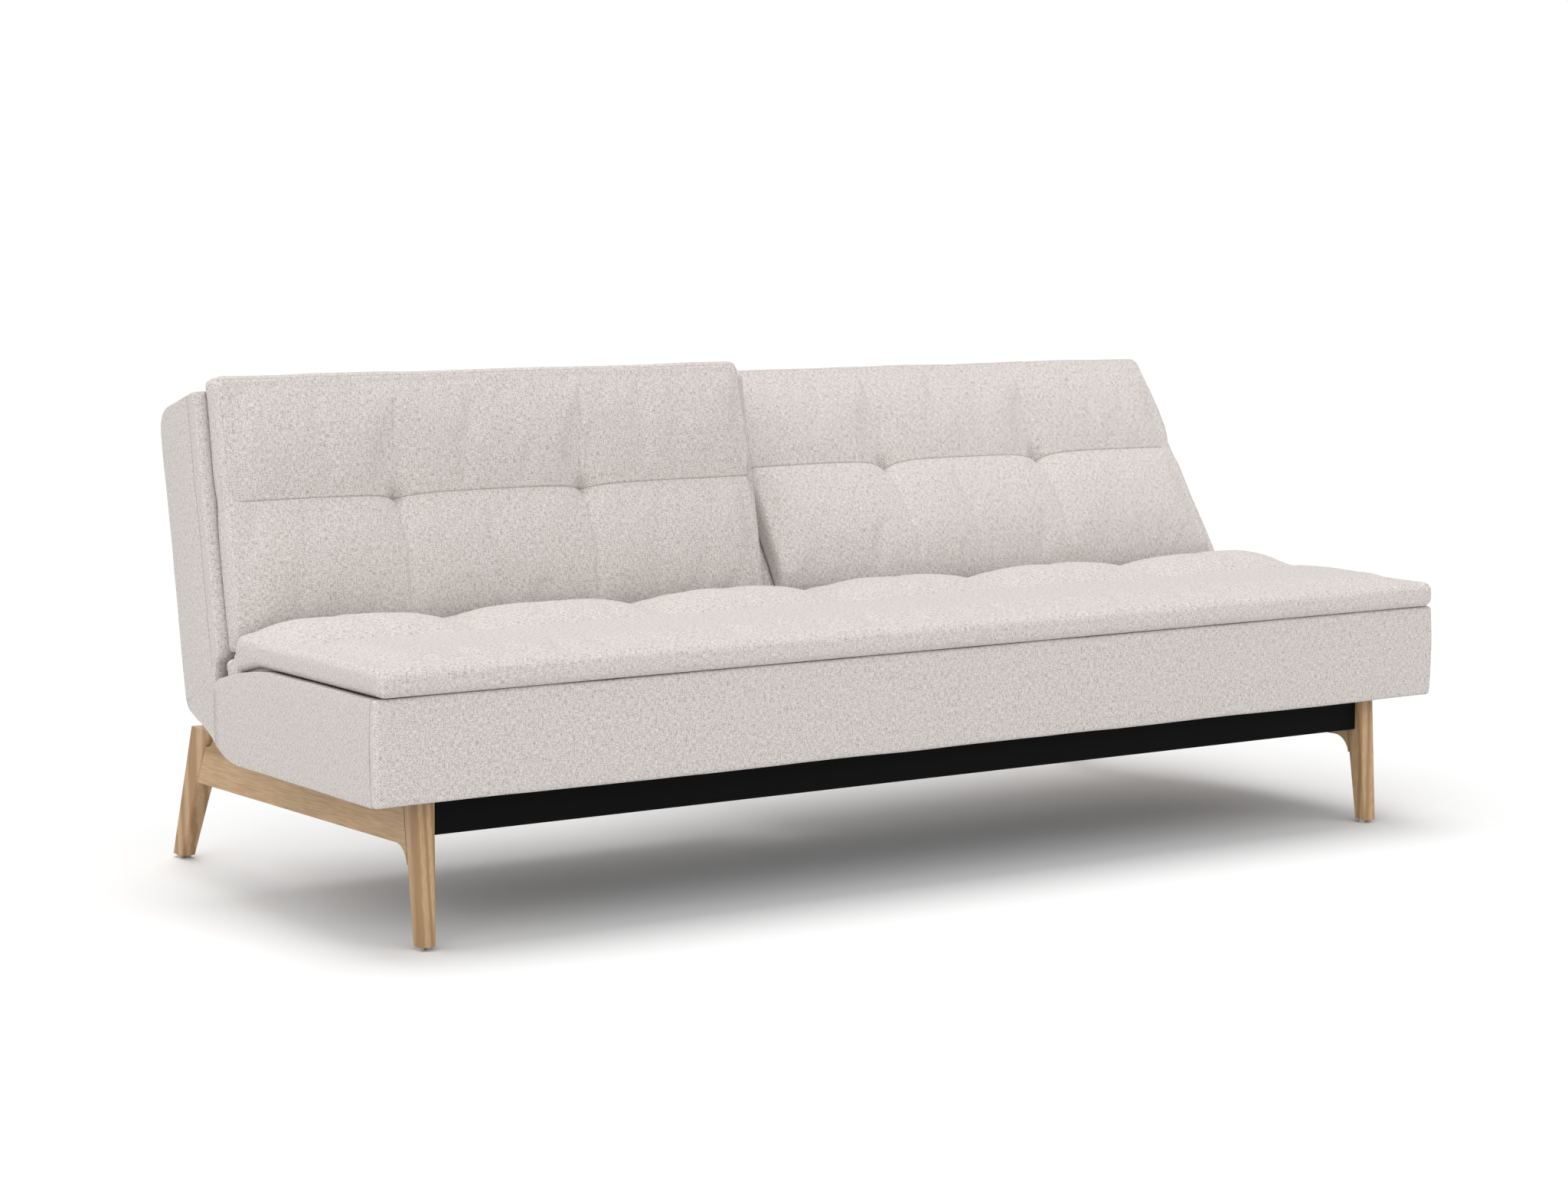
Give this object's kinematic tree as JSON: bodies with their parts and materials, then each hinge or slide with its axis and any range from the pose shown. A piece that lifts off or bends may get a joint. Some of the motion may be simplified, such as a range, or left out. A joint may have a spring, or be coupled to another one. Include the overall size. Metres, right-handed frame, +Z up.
{
  "type": "click clack sofa bed",
  "caption": "Upholstered sofa bed with two reclining back halves, tufted pads, padded box seat, tapered wooden legs and side rails, and a dark front bar.",
  "frame": {"origin": "on the floor, under the middle of the box that holds the sofa as shown", "axes": "+X along the sofa to the right of a viewer in front of it, +Y from the front of the seat to the backs, +Z up"},
  "size_m": [2.05, 0.926, 0.8031],
  "materials": {
    "cover_fabric": "matte",
    "foam": "matte",
    "dust_cloth": "matte",
    "oak": "satin",
    "black_steel": "satin",
    "frame_steel": "satin",
    "zinc_steel": "satin",
    "spring_steel": "satin",
    "glide_plastic": "matte"
  },
  "bodies": {
    "seat": {"front_apron_bar": "black_steel", "hinge_bolts": "zinc_steel", "hinge_pins": "zinc_steel", "left_front_leg": "oak", "left_inner_seat_plate": "frame_steel", "left_outer_seat_plate": "frame_steel", "left_rear_leg": "oak", "left_side_rail": "oak", "leg_glides": "glide_plastic", "leg_joint_bolts": "zinc_steel", "pawl_leaf_springs": "spring_steel", "rail_bolts": "zinc_steel", "right_front_leg": "oak", "right_inner_seat_plate": "frame_steel", "right_outer_seat_plate": "frame_steel", "right_rear_leg": "oak", "right_side_rail": "oak", "seat_centre_tube": "frame_steel", "seat_dust_cover": "dust_cloth", "seat_foam_deck": "foam", "seat_front_border": "cover_fabric", "seat_front_tube": "frame_steel", "seat_left_end_border": "cover_fabric", "seat_left_end_tube": "frame_steel", "seat_left_rear_tube": "frame_steel", "seat_pad": "cover_fabric", "seat_rear_border": "cover_fabric", "seat_right_end_border": "cover_fabric", "seat_right_end_tube": "frame_steel", "seat_right_rear_tube": "frame_steel", "seat_springs": "spring_steel"},
    "left_back": {"left_back_bottom_tube": "frame_steel", "left_back_foot_roll": "cover_fabric", "left_back_inner_border": "cover_fabric", "left_back_inner_stile": "frame_steel", "left_back_outer_border": "cover_fabric", "left_back_outer_stile": "frame_steel", "left_back_pad": "cover_fabric", "left_back_rear_panel": "cover_fabric", "left_back_springs": "spring_steel", "left_back_top_border": "cover_fabric", "left_back_top_tube": "frame_steel", "left_inner_back_arm": "frame_steel", "left_outer_back_arm": "frame_steel"},
    "left_pawl": {"left_pawl": "frame_steel"},
    "right_back": {"right_back_bottom_tube": "frame_steel", "right_back_foot_roll": "cover_fabric", "right_back_inner_border": "cover_fabric", "right_back_inner_stile": "frame_steel", "right_back_outer_border": "cover_fabric", "right_back_outer_stile": "frame_steel", "right_back_pad": "cover_fabric", "right_back_rear_panel": "cover_fabric", "right_back_springs": "spring_steel", "right_back_top_border": "cover_fabric", "right_back_top_tube": "frame_steel", "right_inner_back_arm": "frame_steel", "right_outer_back_arm": "frame_steel"},
    "right_pawl": {"right_pawl": "frame_steel"}
  },
  "joints": [
    {"name": "left_back_hinge", "type": "hinge", "parent": "seat", "child": "left_back", "pos_m": [-0.514, 0.15, 0.305], "axis": [-1, 0, 0], "range_deg": [-5, 79.5]},
    {"name": "right_back_hinge", "type": "hinge", "parent": "seat", "child": "right_back", "pos_m": [0.514, 0.15, 0.305], "axis": [-1, 0, 0], "range_deg": [-26, 58.5]},
    {"name": "left_pawl_pivot", "type": "hinge", "parent": "seat", "child": "left_pawl", "pos_m": [-0.9915, 0.1005, 0.31207], "axis": [1, 0, 0], "range_deg": [0, 7]},
    {"name": "right_pawl_pivot", "type": "hinge", "parent": "seat", "child": "right_pawl", "pos_m": [0.9915, 0.1005, 0.31207], "axis": [1, 0, 0], "range_deg": [0, 7]}
  ]
}
